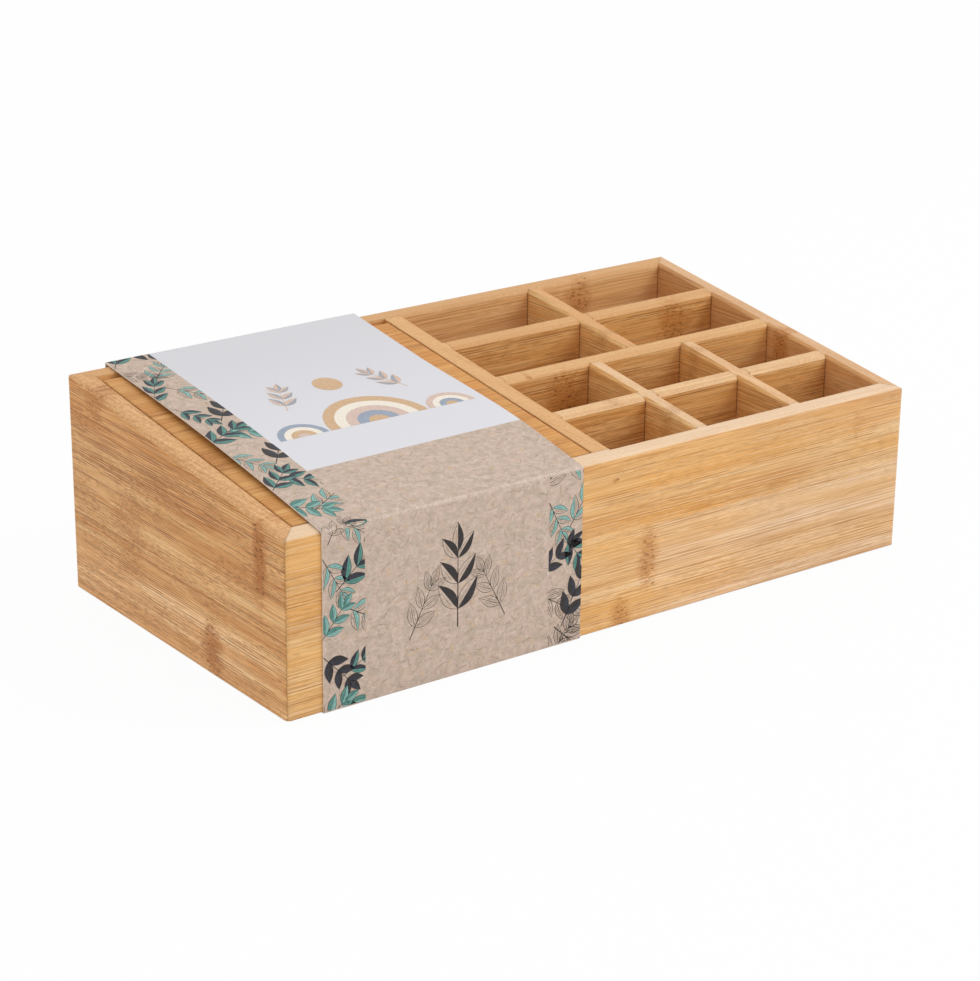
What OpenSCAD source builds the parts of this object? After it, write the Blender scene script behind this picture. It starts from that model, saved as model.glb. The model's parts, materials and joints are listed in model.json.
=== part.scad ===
// Vanity organizer: a bamboo box whose top slopes to the front, with a bin under a mirror lid on the
// left, ten open compartments on the right, and a card sleeve round the left part.
// The origin is the middle of the surface it stands on. X runs to the right, Y to the back, Z up.

/* [Case] */
// Outside width, left to right
case_w = 269; // [240:1:320]
// Outside depth, front to back
case_d = 140; // [110:1:180]
// Height of the back edge
back_h = 80; // [70:1:110]
// Height of the front edge
front_h = 62; // [45:1:68]
// Thickness of the four outer boards
wall_t = 7.5; // [6.5:0.1:10]
// Rounding along the outer top edges
edge_r = 2.4; // [0.5:0.1:3]
// Rounding of the four upright corners
corner_r = 1.8; // [0.5:0.1:3]

/* [Base board] */
// Thickness of the base board
base_t = 4; // [3:0.1:6]
// Height of the base board above the lower edges of the outer boards
base_lift = 2; // [1:0.1:6]
// Depth of the groove that holds the base board
groove_depth = 3; // [1:0.1:4]
// Play of the base board in its groove
groove_gap = 0.15; // [0.05:0.01:0.3]

/* [Compartments] */
// Clear width of the lidded bin
bin_w = 121.3; // [100:0.1:130]
// Thickness of the board between the bin and the grid
partition_t = 8; // [7:0.1:12]
// Thickness of the dividers in the grid
divider_t = 6.2; // [4:0.1:8]
// Play of one divider in the half-lap slot of the other, each side
lap_gap = 0.1; // [0.05:0.01:0.3]
// Chamfer round the mouth of each open compartment
mouth_chamfer = 1; // [0.3:0.1:1.8]

/* [Lid] */
// Thickness of the lid board
lid_t = 8; // [7:0.1:10]
// Rounding of the lid's top edges
lid_edge_r = 0.5; // [0.2:0.1:1]
// Gap at each side of the lid
lid_side_gap = 0.6; // [0.3:0.1:1.5]
// Gap between the lid and the front board
lid_front_gap = 0.7; // [0.6:0.1:2]
// Depth of the hinge axis under the lid's top face
pivot_depth = 4.5; // [4:0.1:5]
// Distance of the hinge axis from the inner face of the back board
pivot_setback = 5.2; // [4.8:0.1:8]
// Gap between the lid's round rear edge and the back board
tail_gap = 0.3; // [0.2:0.1:0.6]
// Width of the cleat that the lid's front edge lies on
cleat_w = 6; // [4:0.5:7]
// Height of the cleat
cleat_h = 8; // [5:0.5:12]
// Gap between the lid and its cleat
rest_gap = 0.1; // [0.05:0.05:0.3]

/* [Hinge pins] */
// Radius of a hinge pin
pin_r = 1.5; // [1:0.1:1.8]
// Length of a pin in the case board
pin_in_wall = 5; // [3:0.5:6]
// Length of a pin in the lid
pin_in_lid = 6; // [4:0.5:10]
// Chamfer at the ends of a pin
pin_chamfer = 0.3; // [0.1:0.1:0.6]
// Clearance round a pin where it is driven into the case
pin_fit = 0.01; // [0.01:0.01:0.03]
// Clearance round a pin where the lid turns on it
pin_play = 0.06; // [0.03:0.01:0.1]
// Empty length of a pin hole past the pin's end
hole_spare = 0.5; // [0.3:0.1:1]

/* [Mirror] */
// Width of the wooden rim at the front and the sides of the mirror
rim_w = 7; // [7:0.5:14]
// Width of the wooden rim between the mirror and the hinge axis
rear_rim_w = 5; // [4:0.5:14]
// Thickness of the mirror
mirror_t = 2; // [1.5:0.1:2.4]
// Gap round the mirror in its recess
mirror_gap = 0.4; // [0.2:0.1:1]
// Depth of the mirror's face below the rim
mirror_inset = 0.2; // [0.1:0.1:0.4]
// Thickness of the tape behind the mirror
tape_t = 0.6; // [0.4:0.1:0.8]
// Width of a strip of tape
tape_w = 14; // [8:1:20]
// Distance from the mirror's edges to the tape
tape_margin = 10; // [5:1:15]

/* [Card sleeve] */
// Width of the sleeve along the case
sleeve_w = 105; // [80:1:110]
// Distance of the sleeve from the left end of the case
sleeve_left = 14; // [8:0.5:20]
// Thickness of the card
card_t = 0.4; // [0.3:0.05:0.6]
// Gap between the card and the wood
card_gap = 0.2; // [0.1:0.05:0.4]
// Height by which the top panel bows up from the lid
card_bow = 2; // [0.2:0.1:3]
// Slit at the two ends of the top panel
crease_gap = 0.1; // [0.05:0.01:0.2]
// Outer rounding of the lower creases
crease_r = 0.5; // [0.2:0.1:0.6]

/* [Hidden] */

$fn = 96;

// How far a cut runs past the face that it starts from
overrun = 1;

// Case: its lower edge stands on the sleeve's underside
half_w = case_w / 2;
half_d = case_d / 2;
case_z = card_t + card_gap;
slope = atan((back_h - front_h) / case_d);
inner_x = half_w - wall_t;
inner_y = half_d - wall_t;

// Height of the sloping top at a place y
function top_z(y) = case_z + front_h + (y + half_d) * tan(slope);

// Base board and the floor of the compartments
base_z = case_z + base_lift;
floor_z = base_z + base_t;

// Bin and grid
bin_x0 = -inner_x;
bin_x1 = bin_x0 + bin_w;
grid_x0 = bin_x1 + partition_t;
grid_w = inner_x - grid_x0;
rows = 4;
rear_columns = 2;
front_columns = 3;
row_d = (2 * inner_y - (rows - 1) * divider_t) / rows;

// Where divider number i starts when count equal cells share a length
function divider_at(start, length, count, i) =
  start + i * (length - (count - 1) * divider_t) / count + (i - 1) * divider_t;
function row_y(i) = divider_at(-inner_y, 2 * inner_y, rows, i);
function rear_column_x(i) = divider_at(grid_x0, grid_w, rear_columns, i);
function front_column_x(i) = divider_at(grid_x0, grid_w, front_columns, i);

// Compartments of one row, from the left: each is [x, y, width, depth]; row 0 is at the front
function row_cells(row) =
  let (count = row < rows / 2 ? front_columns : rear_columns)
  let (w = (grid_w - (count - 1) * divider_t) / count)
  [for (i = [0:count - 1]) [grid_x0 + i * (w + divider_t), -inner_y + row * (row_d + divider_t), w, row_d]];
function last(list) = list[len(list) - 1];

// Hinge axis, and the lid in its own frame: y along the slope from the axis, z square to the lid
pivot_y = inner_y - pivot_setback;
pivot_z = top_z(pivot_y) - pivot_depth / cos(slope);
lid_x0 = bin_x0 + lid_side_gap;
lid_x1 = bin_x1 - lid_side_gap;
lid_w = lid_x1 - lid_x0;
lid_low = pivot_depth - lid_t;
lid_front = (-inner_y + lid_front_gap - pivot_y + pivot_depth * sin(slope)) / cos(slope);
tail_r = pivot_setback - tail_gap;

// Mirror recess in the lid's frame
recess_x0 = lid_x0 + rim_w;
recess_w = lid_w - 2 * rim_w;
recess_y0 = lid_front + rim_w;
recess_d = -rear_rim_w - recess_y0;
recess_h = tape_t + mirror_t + mirror_inset;

// Card sleeve: its skins and the crease axis at the back
sleeve_x0 = -half_w + sleeve_left;
card_in_y = half_d + card_gap;
card_out_y = card_in_y + card_t;
crease_y = card_in_y + card_t / 2;
crease_z = top_z(crease_y) + (card_gap + card_t / 2) / cos(slope);
bow_steps = 24;
// The bow is highest at this share of the way from the rear crease to the front one
bow_peak_share = 0.68;

wood = [0.86, 0.66, 0.42];
pale_wood = [0.91, 0.74, 0.52];
steel = [0.70, 0.70, 0.72];
silver = [0.80, 0.86, 0.90];
kraft = [0.76, 0.69, 0.60];
print_grey = [0.86, 0.86, 0.88];

// Extrudes a profile drawn in Y and Z to the right along X
module along_x(length) {
  rotate([90, 0, 90]) linear_extrude(length) children();
}

// What a rounding takes off an edge on the +Y axis; the solid lies to -X and -Z, and its faces meet at
// the given angle
module edge_waste(r, length, angle = 90) {
  run = r / tan(angle / 2);
  side = [cos(180 + angle), sin(180 + angle)];
  outward = [cos(270 + angle), sin(270 + angle)];
  translate([0, length, 0]) rotate([90, 0, 0]) linear_extrude(length) difference() {
    polygon([[-run, 0], [-run, -r], run * side, run * side + overrun * outward,
      overrun * (outward + [0, 1]), [-run, overrun]]);
    translate([-run, -r]) circle(r);
  }
}

// The same waste for an edge along X: the wood lies behind it (side 1) or in front of it (side -1)
module long_edge_waste(r, x0, y0, length, side) {
  translate([x0, y0, top_z(y0)]) mirror([0, (1 - side) / 2, 0]) translate([length, 0, 0])
    rotate([0, 0, 90]) rotate([0, -side * slope, 0]) edge_waste(r, length, 90 - side * slope);
}

// What the chamfer round the mouths of the given compartments takes off: a funnel over each one
module mouth_waste(cells) {
  depth = 2 * mouth_chamfer;
  wide = mouth_chamfer + overrun;
  function funnel(length) = [[-wide, overrun], [length + wide, overrun],
    [length + mouth_chamfer - depth, -depth], [depth - mouth_chamfer, -depth]];
  for (c = cells) translate([c[0], c[1], top_z(c[1])]) rotate([slope, 0, 0]) intersection() {
    translate([-wide, 0, 0]) along_x(c[2] + 2 * wide) polygon(funnel(c[3] / cos(slope)));
    translate([0, c[3] / cos(slope) + wide, 0]) rotate([90, 0, 0])
      linear_extrude(c[3] / cos(slope) + 2 * wide) polygon(funnel(c[2]));
  }
}

// The whole case as one block, with its edges rounded; each outer board is a piece of it
module case_block() {
  difference() {
    translate([-half_w, 0, 0]) along_x(case_w) polygon([[-half_d, case_z], [half_d, case_z],
      [half_d, top_z(half_d)], [-half_d, top_z(-half_d)]]);
    for (side = [0, 1]) mirror([side, 0, 0]) {
      translate([half_w, -half_d, top_z(-half_d)]) rotate([slope, 0, 0])
        translate([0, -overrun, 0]) edge_waste(edge_r, case_d / cos(slope) + 2 * overrun);
      for (end = [0, 1]) mirror([0, end, 0]) translate([half_w, -half_d, case_z - overrun])
        rotate([90, 0, 0]) edge_waste(corner_r, back_h + 2 * overrun);
    }
    for (side = [1, -1])
      long_edge_waste(edge_r, -half_w - overrun, side * half_d, case_w + 2 * overrun, side);
  }
}

// Base board, or with a gap the groove that it sits in
module base_blank(gap = 0) {
  reach_x = inner_x + groove_depth - groove_gap + gap;
  reach_y = inner_y + groove_depth - groove_gap + gap;
  translate([-reach_x, -reach_y, base_z]) cube([2 * reach_x, 2 * reach_y, base_t + gap]);
}

// A long board, front (side 0) or back (side 1), between 45 degree mitres
module long_board(side, cells) {
  difference() {
    intersection() {
      case_block();
      mirror([0, side, 0]) linear_extrude(case_z + 2 * back_h) polygon([[-half_w, -half_d],
        [half_w, -half_d], [inner_x, -inner_y], [-inner_x, -inner_y]]);
    }
    base_blank(groove_gap);
    mouth_waste(cells);
  }
}

// An end board, left (side 0) or right (side 1), between 45 degree mitres
module end_board(side, cells) {
  difference() {
    intersection() {
      case_block();
      mirror([side, 0, 0]) linear_extrude(case_z + 2 * back_h) polygon([[-half_w, -half_d],
        [-inner_x, -inner_y], [-inner_x, inner_y], [-half_w, half_d]]);
    }
    base_blank(groove_gap);
    mouth_waste(cells);
  }
}

// An upright inner board from the floor to the sloping top
module inner_board(x0, w, y0, d) {
  translate([x0, 0, 0]) along_x(w) polygon([[y0, floor_z], [y0 + d, floor_z],
    [y0 + d, top_z(y0 + d)], [y0, top_z(y0)]]);
}

// Half-lap slot of one divider across another at a place y, open to the top or to the floor
module lap_slot(x0, y0, w, d, from_top) {
  half_z = (floor_z + top_z(y0 + d / 2)) / 2;
  z0 = from_top ? half_z - lap_gap : floor_z - overrun;
  z1 = from_top ? top_z(y0 + d) + overrun : half_z + lap_gap;
  translate([x0 - lap_gap, y0 - lap_gap, z0]) cube([w + 2 * lap_gap, d + 2 * lap_gap, z1 - z0]);
}

// A divider from the partition to the right board
module row_divider(i, column_places) {
  color(wood) difference() {
    inner_board(grid_x0, grid_w, row_y(i), divider_t);
    for (x = column_places) lap_slot(x, row_y(i), divider_t, divider_t, true);
    mouth_waste(concat(row_cells(i - 1), row_cells(i)));
  }
}

// A divider that spans two rows, crosses the row divider between them and has the given number from
// the left
module column_divider(x, crossed_row, number) {
  y0 = row_y(crossed_row) - row_d;
  color(wood) difference() {
    inner_board(x, divider_t, y0, 2 * row_d + divider_t);
    lap_slot(x, row_y(crossed_row), divider_t, divider_t, false);
    mouth_waste([for (row = [crossed_row - 1, crossed_row], i = [number - 1, number]) row_cells(row)[i]]);
  }
}

// Places its children in the lid's frame
module on_hinge_axis() {
  translate([0, pivot_y, pivot_z]) rotate([slope, 0, 0]) children();
}

// A pin with chamfered ends along +X
module pin(length) {
  rotate([0, 90, 0]) rotate_extrude() polygon([[0, 0], [pin_r - pin_chamfer, 0], [pin_r, pin_chamfer],
    [pin_r, length - pin_chamfer], [pin_r - pin_chamfer, length], [0, length]]);
}

// A pin hole along +X
module pin_hole(length, clearance) {
  rotate([0, 90, 0]) cylinder(r = pin_r + clearance, h = length);
}

module front_panel() {
  color(wood) long_board(0, row_cells(0));
}

module back_panel() {
  color(wood) long_board(1, row_cells(rows - 1));
}

module left_panel() {
  hole = pin_in_wall + hole_spare;
  color(wood) difference() {
    end_board(0, []);
    translate([bin_x0 - hole, pivot_y, pivot_z]) pin_hole(hole + overrun, pin_fit);
  }
}

module right_panel() {
  color(wood) end_board(1, [for (row = [0:rows - 1]) last(row_cells(row))]);
}

module base_panel() {
  color(pale_wood) base_blank();
}

module partition() {
  color(wood) difference() {
    inner_board(bin_x1, partition_t, -inner_y, 2 * inner_y);
    translate([bin_x1 - overrun, pivot_y, pivot_z])
      pin_hole(pin_in_wall + hole_spare + overrun, pin_fit);
    mouth_waste([for (row = [0:rows - 1]) row_cells(row)[0]]);
  }
}

module row_divider_front() {
  row_divider(1, [front_column_x(1), front_column_x(2)]);
}

module row_divider_middle() {
  row_divider(2, []);
}

module row_divider_rear() {
  row_divider(3, [rear_column_x(1)]);
}

module column_divider_rear() {
  column_divider(rear_column_x(1), 3, 1);
}

module column_divider_front_left() {
  column_divider(front_column_x(1), 1, 1);
}

module column_divider_front_right() {
  column_divider(front_column_x(2), 1, 2);
}

module lid_board() {
  hole = pin_in_lid + hole_spare;
  color(wood) on_hinge_axis() difference() {
    union() {
      translate([lid_x0, lid_front, lid_low]) cube([lid_w, -lid_front, lid_t]);
      intersection() {
        translate([lid_x0, -tail_r / 2, lid_low]) cube([lid_w, 2 * tail_r, lid_t]);
        translate([lid_x0, 0, 0]) rotate([0, 90, 0]) cylinder(r = tail_r, h = lid_w);
      }
    }
    translate([recess_x0, recess_y0, lid_low - overrun]) cube([recess_w, recess_d, recess_h + overrun]);
    translate([lid_x0 - overrun, 0, 0]) pin_hole(hole + overrun, pin_play);
    translate([lid_x1 - hole, 0, 0]) pin_hole(hole + overrun, pin_play);
    for (side = [0, 1]) translate([side * (lid_x0 + lid_x1), lid_front - overrun, pivot_depth])
      mirror([side, 0, 0]) translate([lid_x0, 0, 0]) mirror([1, 0, 0])
        edge_waste(lid_edge_r, tail_r - lid_front + 2 * overrun);
    translate([lid_x0 - overrun, lid_front, pivot_depth]) rotate([0, 0, -90])
      edge_waste(lid_edge_r, lid_w + 2 * overrun);
  }
}

module mirror_glass() {
  color(silver) on_hinge_axis() translate([recess_x0 + mirror_gap, recess_y0 + mirror_gap,
    lid_low + mirror_inset]) cube([recess_w - 2 * mirror_gap, recess_d - 2 * mirror_gap, mirror_t]);
}

module mirror_tape() {
  length = recess_d - 2 * (mirror_gap + tape_margin);
  color("white") on_hinge_axis() for (x = [recess_x0 + mirror_gap + tape_margin,
    recess_x0 + recess_w - mirror_gap - tape_margin - tape_w])
    translate([x, recess_y0 + mirror_gap + tape_margin, lid_low + mirror_inset + mirror_t])
      cube([tape_w, length, tape_t]);
}

module hinge_pin_left() {
  color(steel) translate([bin_x0 - pin_in_wall, pivot_y, pivot_z])
    pin(pin_in_wall + lid_side_gap + pin_in_lid);
}

module hinge_pin_right() {
  color(steel) translate([bin_x1 - lid_side_gap - pin_in_lid, pivot_y, pivot_z])
    pin(pin_in_wall + lid_side_gap + pin_in_lid);
}

// The lid's underside is parallel to the cleat's top
module lid_rest_cleat() {
  y0 = -inner_y;
  y1 = y0 + cleat_w;
  drop = lid_t / cos(slope) + rest_gap;
  color(pale_wood) translate([bin_x0, 0, 0]) along_x(bin_w) polygon([[y0, top_z(y0) - drop - cleat_h],
    [y1, top_z(y0) - drop - cleat_h], [y1, top_z(y1) - drop], [y0, top_z(y0) - drop]]);
}

// Front, underside and back of the band: its upper ends stop short of the top panel
module sleeve() {
  front_z = top_z(-card_out_y) + card_gap / cos(slope) - crease_gap;
  back_z = crease_z - card_t / 2 - crease_gap;
  color(kraft) difference() {
    translate([sleeve_x0, 0, 0]) along_x(sleeve_w) polygon([[-card_out_y, 0], [card_out_y, 0],
      [card_out_y, back_z], [card_in_y, back_z], [card_in_y, card_t], [-card_in_y, card_t],
      [-card_in_y, front_z], [-card_out_y, front_z]]);
    for (end = [0, 1]) mirror([0, end, 0]) translate([sleeve_x0 - overrun, -card_out_y, 0])
      rotate([0, 0, -90]) mirror([0, 0, 1]) edge_waste(crease_r, sleeve_w + 2 * overrun);
  }
}

// Top panel, bowed up between its creases, with a round fold on the crease axis
module sleeve_top() {
  run = (crease_y + card_out_y) / cos(slope);
  function bow(share) = card_bow * pow(sin(180 * pow(share, ln(0.5) / ln(bow_peak_share))), 2);
  shares = [for (i = [0:bow_steps]) i / bow_steps];
  color(print_grey) translate([sleeve_x0, crease_y, crease_z]) rotate([slope, 0, 0]) {
    along_x(sleeve_w) polygon(concat([for (s = shares) [-s * run, bow(s) + card_t / 2]],
      [for (i = [bow_steps:-1:0]) [-shares[i] * run, bow(shares[i]) - card_t / 2]]));
    rotate([0, 90, 0]) cylinder(r = card_t / 2, h = sleeve_w);
  }
}

front_panel();
back_panel();
left_panel();
right_panel();
base_panel();
partition();
row_divider_front();
row_divider_middle();
row_divider_rear();
column_divider_rear();
column_divider_front_left();
column_divider_front_right();
lid_board();
mirror_glass();  // mirror
mirror_tape();
hinge_pin_left();
hinge_pin_right();
lid_rest_cleat();
sleeve();
sleeve_top();
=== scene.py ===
import json
import math

import bmesh
import bpy
from mathutils import Matrix, Vector

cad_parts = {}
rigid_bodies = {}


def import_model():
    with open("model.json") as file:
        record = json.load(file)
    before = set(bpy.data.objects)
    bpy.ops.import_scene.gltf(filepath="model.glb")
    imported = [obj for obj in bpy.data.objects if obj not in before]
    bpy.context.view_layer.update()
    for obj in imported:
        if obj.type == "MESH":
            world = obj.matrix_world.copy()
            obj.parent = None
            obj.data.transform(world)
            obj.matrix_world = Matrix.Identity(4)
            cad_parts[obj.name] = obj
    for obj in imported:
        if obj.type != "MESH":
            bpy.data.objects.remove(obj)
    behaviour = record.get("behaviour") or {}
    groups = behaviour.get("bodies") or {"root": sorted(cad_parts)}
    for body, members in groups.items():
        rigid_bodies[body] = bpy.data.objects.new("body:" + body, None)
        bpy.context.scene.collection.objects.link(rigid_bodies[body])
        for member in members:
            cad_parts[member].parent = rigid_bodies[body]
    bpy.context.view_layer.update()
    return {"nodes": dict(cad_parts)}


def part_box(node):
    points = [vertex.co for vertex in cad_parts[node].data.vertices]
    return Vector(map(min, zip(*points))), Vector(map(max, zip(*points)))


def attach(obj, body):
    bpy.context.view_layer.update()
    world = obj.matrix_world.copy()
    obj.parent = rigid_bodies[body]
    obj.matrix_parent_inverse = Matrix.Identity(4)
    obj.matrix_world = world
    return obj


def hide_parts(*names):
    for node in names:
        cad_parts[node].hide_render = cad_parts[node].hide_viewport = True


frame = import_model()
nodes = frame["nodes"]
scene = bpy.context.scene
mm = 0.001
print("frame loaded:", len(nodes), "parts")


# sRGB 0-255 to the linear colour that a shader takes
def tint(red, green, blue):
    def linear(v):
        v /= 255
        return v / 12.92 if v <= 0.04045 else ((v + 0.055) / 1.055) ** 2.4
    return (linear(red), linear(green), linear(blue), 1)


# A node tree with short calls for its nodes; a number, a colour or a socket goes into any input
class Wiring:
    def __init__(self, tree):
        self.tree = tree

    # a node with its settings, and its inputs by name or number
    def add(self, kind, inputs=None, **settings):
        node = self.tree.nodes.new(kind)
        for key, value in settings.items():
            setattr(node, key, value)
        self.fill(node, inputs or {})
        return node

    # None leaves an input as it is
    def fill(self, node, inputs):
        for key, value in inputs.items():
            if isinstance(value, bpy.types.NodeSocket):
                self.tree.links.new(value, node.inputs[key])
            elif value is not None:
                node.inputs[key].default_value = value

    def calc(self, operation, *values):
        return self.add("ShaderNodeMath", dict(enumerate(values)), operation=operation).outputs[0]

    def times(self, first, *others):
        for other in others:
            first = self.calc("MULTIPLY", first, other)
        return first

    # base plus the value times gain
    def scaled(self, value, gain, base):
        return self.calc("MULTIPLY_ADD", value, gain, base)

    # base plus the swing of a 0 to 1 value about its middle
    def swing(self, value, amount, base):
        return self.scaled(self.calc("SUBTRACT", value, 0.5), amount, base)

    def distance(self, x, y):
        return self.calc("SQRT", self.calc("ADD", self.times(x, x), self.times(y, y)))

    def split(self, vector):
        return self.add("ShaderNodeSeparateXYZ", {0: vector}).outputs

    def join(self, *axes):
        return self.add("ShaderNodeCombineXYZ", dict(enumerate(axes))).outputs[0]

    def shifted(self, vector, offset):
        return self.add("ShaderNodeVectorMath", {0: vector, 1: offset}, operation="ADD").outputs[0]

    def coordinates(self, kind):
        return self.add("ShaderNodeTexCoord").outputs[kind]

    # three random numbers that are the same wherever both values are
    def chances(self, first, second):
        inputs = {"Vector": self.join(first, second, 0.0)}
        return self.split(self.add("ShaderNodeTexWhiteNoise", inputs, noise_dimensions="2D").outputs["Color"])

    # random flat cells of about the given size
    def cells(self, vector, size):
        inputs = {"Vector": vector, "Scale": 1 / size}
        return self.add("ShaderNodeTexVoronoi", inputs, voronoi_dimensions="2D").outputs

    def noise(self, vector, scale=1.0, detail=2.0, roughness=0.5):
        inputs = {"Vector": vector, "Scale": scale, "Detail": detail, "Roughness": roughness}
        return self.add("ShaderNodeTexNoise", inputs).outputs["Fac"]

    # noise with grains of the given size along each axis; None leaves an axis as it is
    def grained(self, axes, sizes, detail=2.0, roughness=0.5):
        axes = [axis if size is None else self.calc("DIVIDE", axis, size) for axis, size in zip(axes, sizes)]
        return self.noise(self.join(*axes), 1.0, detail, roughness)

    # soft step from 0 at the low value to 1 at the high one, or back if low is above high
    def step(self, value, low, high):
        inputs = {"Value": value, "From Min": min(low, high), "From Max": max(low, high),
                  "To Min": float(low > high), "To Max": float(low < high)}
        return self.add("ShaderNodeMapRange", inputs, interpolation_type="SMOOTHSTEP").outputs["Result"]

    # 1 from low to high, with soft ends
    def between(self, value, low, high, soft):
        above = self.step(value, low - soft, low + soft)
        return self.times(above, self.step(value, high + soft, high - soft))

    def mix(self, share, first, second, blend="MIX"):
        inputs = {0: share, 6: first, 7: second}
        return self.add("ShaderNodeMix", inputs, data_type="RGBA", blend_type=blend).outputs[2]

    def ramp(self, value, stops):
        node = self.add("ShaderNodeValToRGB", {0: value})
        elements = node.color_ramp.elements
        while len(elements) < len(stops):
            elements.new(0.5)
        for element, (place, colour) in zip(elements, stops):
            element.position = place
            element.color = colour
        return node.outputs[0]

    def bump(self, height, strength, distance, normal=None):
        inputs = {"Height": height, "Strength": strength, "Distance": distance, "Normal": normal}
        return self.add("ShaderNodeBump", inputs).outputs[0]


def newMaterial(name):
    material = bpy.data.materials.new(name)
    material.use_nodes = True
    return material, Wiring(material.node_tree), material.node_tree.nodes["Principled BSDF"]


# A node group with its sockets; returns the tree, its wiring and what the group is given
def newGroup(name, kind, inputs, outputs):
    tree = bpy.data.node_groups.new(name, kind)
    for way, sockets in (("INPUT", inputs), ("OUTPUT", outputs)):
        for socket, holds in sockets.items():
            tree.interface.new_socket(socket, in_out=way, socket_type="NodeSocket" + holds)
    w = Wiring(tree)
    return tree, w, w.add("NodeGroupInput").outputs


# A CAD part gets this material alone
def wear(node, material):
    mesh = nodes[node].data
    mesh.materials.clear()
    mesh.materials.append(material)


def addToScene(name, data):
    thing = bpy.data.objects.new(name, data)
    scene.collection.objects.link(thing)
    return thing


# Camera: found from the corners of the compartments in the photograph; mm, degrees and pixels
view = dict(
    azimuth=-36.736, elevation=20.566, roll=0.636, lookAt=(0, 0, 36), distance=995.17, across=-1.928,
    down=6.204, focal=2749.4, imageHeight=981, sensor=36, clip=(0.05, 20))


def makeCamera():
    a, e, r = (math.radians(view[key]) for key in ("azimuth", "elevation", "roll"))
    forward = Vector((-math.sin(a) * math.cos(e), math.cos(a) * math.cos(e), -math.sin(e)))
    level = Vector((math.cos(a), math.sin(a), 0))
    plumb = -level.cross(forward)
    right = math.cos(r) * level - math.sin(r) * plumb
    down = math.sin(r) * level + math.cos(r) * plumb
    data = bpy.data.cameras.new("camera")
    data.sensor_width = view["sensor"]
    data.lens = view["focal"] / view["imageHeight"] * view["sensor"]
    data.clip_start, data.clip_end = view["clip"]
    camera = addToScene("camera", data)
    place = Vector(view["lookAt"]) - forward * view["distance"] + right * view["across"] + down * view["down"]
    turn = Matrix((right, -down, -forward)).transposed()
    camera.matrix_world = Matrix.Translation(place * mm) @ turn.to_4x4()
    scene.camera = camera


makeCamera()
scene.view_settings.view_transform = "Standard"

# Studio: pale floor, soft lamps and a white surround; each lamp has its place, size (m) and power (W)
studio = dict(
    worldStrength=0.64, floorSize=6, floorWhite=0.9, floorLift=0.955, floorRoughness=0.9,
    floorSpecular=0.1, aim=(0, 0, 0.03),
    lamps=dict(key=((1.05, -0.85, 1), 1.1, 10.8), side=((-1.3, -0.35, 0.7), 0.9, 2.5),
               top=((0.1, 0.5, 1.5), 1.2, 2.6)))


# 1 for the rays that should see the plain white surround
def sceneRays(w):
    rays = w.add("ShaderNodeLightPath").outputs
    seen = w.calc("MAXIMUM", rays["Is Camera Ray"], rays["Is Glossy Ray"])
    return w.calc("MAXIMUM", seen, rays["Is Transmission Ray"])


def makeStudio():
    world = bpy.data.worlds.new("studio")
    scene.world = world
    world.use_nodes = True
    world.node_tree.nodes.clear()
    w = Wiring(world.node_tree)
    white = (1, 1, 1, 1)
    lit = w.add("ShaderNodeBackground", {"Color": white, "Strength": studio["worldStrength"]})
    seen = w.add("ShaderNodeBackground", {"Color": white})
    mixed = w.add("ShaderNodeMixShader", {0: sceneRays(w), 1: lit.outputs[0], 2: seen.outputs[0]})
    w.add("ShaderNodeOutputWorld", {0: mixed.outputs[0]})

    half = studio["floorSize"] / 2
    mesh = bpy.data.meshes.new("floor")
    corners = [(-half, -half, 0), (half, -half, 0), (half, half, 0), (-half, half, 0)]
    mesh.from_pydata(corners, [], [(0, 1, 2, 3)])
    material, w, shader = newMaterial("floor_paper")
    grey = studio["floorWhite"]
    w.fill(shader, {"Base Color": (grey, grey, grey, 1), "Roughness": studio["floorRoughness"],
                    "Specular IOR Level": studio["floorSpecular"]})
    lift = w.times(sceneRays(w), studio["floorLift"])
    glow = w.add("ShaderNodeEmission")
    mixed = w.add("ShaderNodeMixShader", {0: lift, 1: shader.outputs[0], 2: glow.outputs[0]})
    w.fill(material.node_tree.nodes["Material Output"], {0: mixed.outputs[0]})
    mesh.materials.append(material)
    floor = addToScene("floor", mesh)

    for name, (place, size, power) in studio["lamps"].items():
        data = bpy.data.lights.new(name, "AREA")
        data.size, data.energy = size, power
        lamp = addToScene(name, data)
        lamp.location = place
        lamp.rotation_euler = (Vector(studio["aim"]) - Vector(place)).to_track_quat("-Z", "Y").to_euler()


makeStudio()
print("camera and studio ready")

# Bamboo: pressed strips with fibres along the grain, thin broken pore lines and a node now and then; mm.
# Grain sizes are length and width; pore lines have pitch, thickness, dash length and a layer of their own.
# A rise is the two values between which a mask sets in. Line weight, crowding and roughness are gain and
# base, relief is the bump's strength and depth (m).
bamboo = dict(
    stripWidth=20, stripShift=5.3, boardShift=61.7, softEdge=0.9, nodeEvery=190, nodeShift=170,
    nodeReach=6, nodeRagged=8, raggedSize=2.2, wander=0.9, wanderSize=(45, 14, 14),
    throughShare=0.83, fibres=(46, 0.7), bands=(150, 6), hues=(130, 13), crowds=(90, 5.5),
    flecks=(5.5, 0.85), fleckFields=(60, 17), specks=(1.1, 0.7, 0.7),
    coarseLines=(1.5, 0.34, 26, 0), fineLines=(0.75, 0.2, 13, 31),
    paleLines=(1.25, 0.34, 24, 57), lineSoft=0.3, lineWeight=(0.75, 0.25), dashSpread=90,
    dashRise=(0.36, 0.52), fineShare=0.8, crowdRise=(0.36, 0.62), fieldRise=(0.36, 0.58),
    fleckRise=(0.5, 0.64), speckRise=(0.5, 0.62), fibreSwing=1.7, crowding=(0.6, 0.4),
    speckShade=0.65, knotShade=0.3, specular=0.25, roughness=(0.12, 0.44), relief=(0.35, 0.00006))


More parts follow.
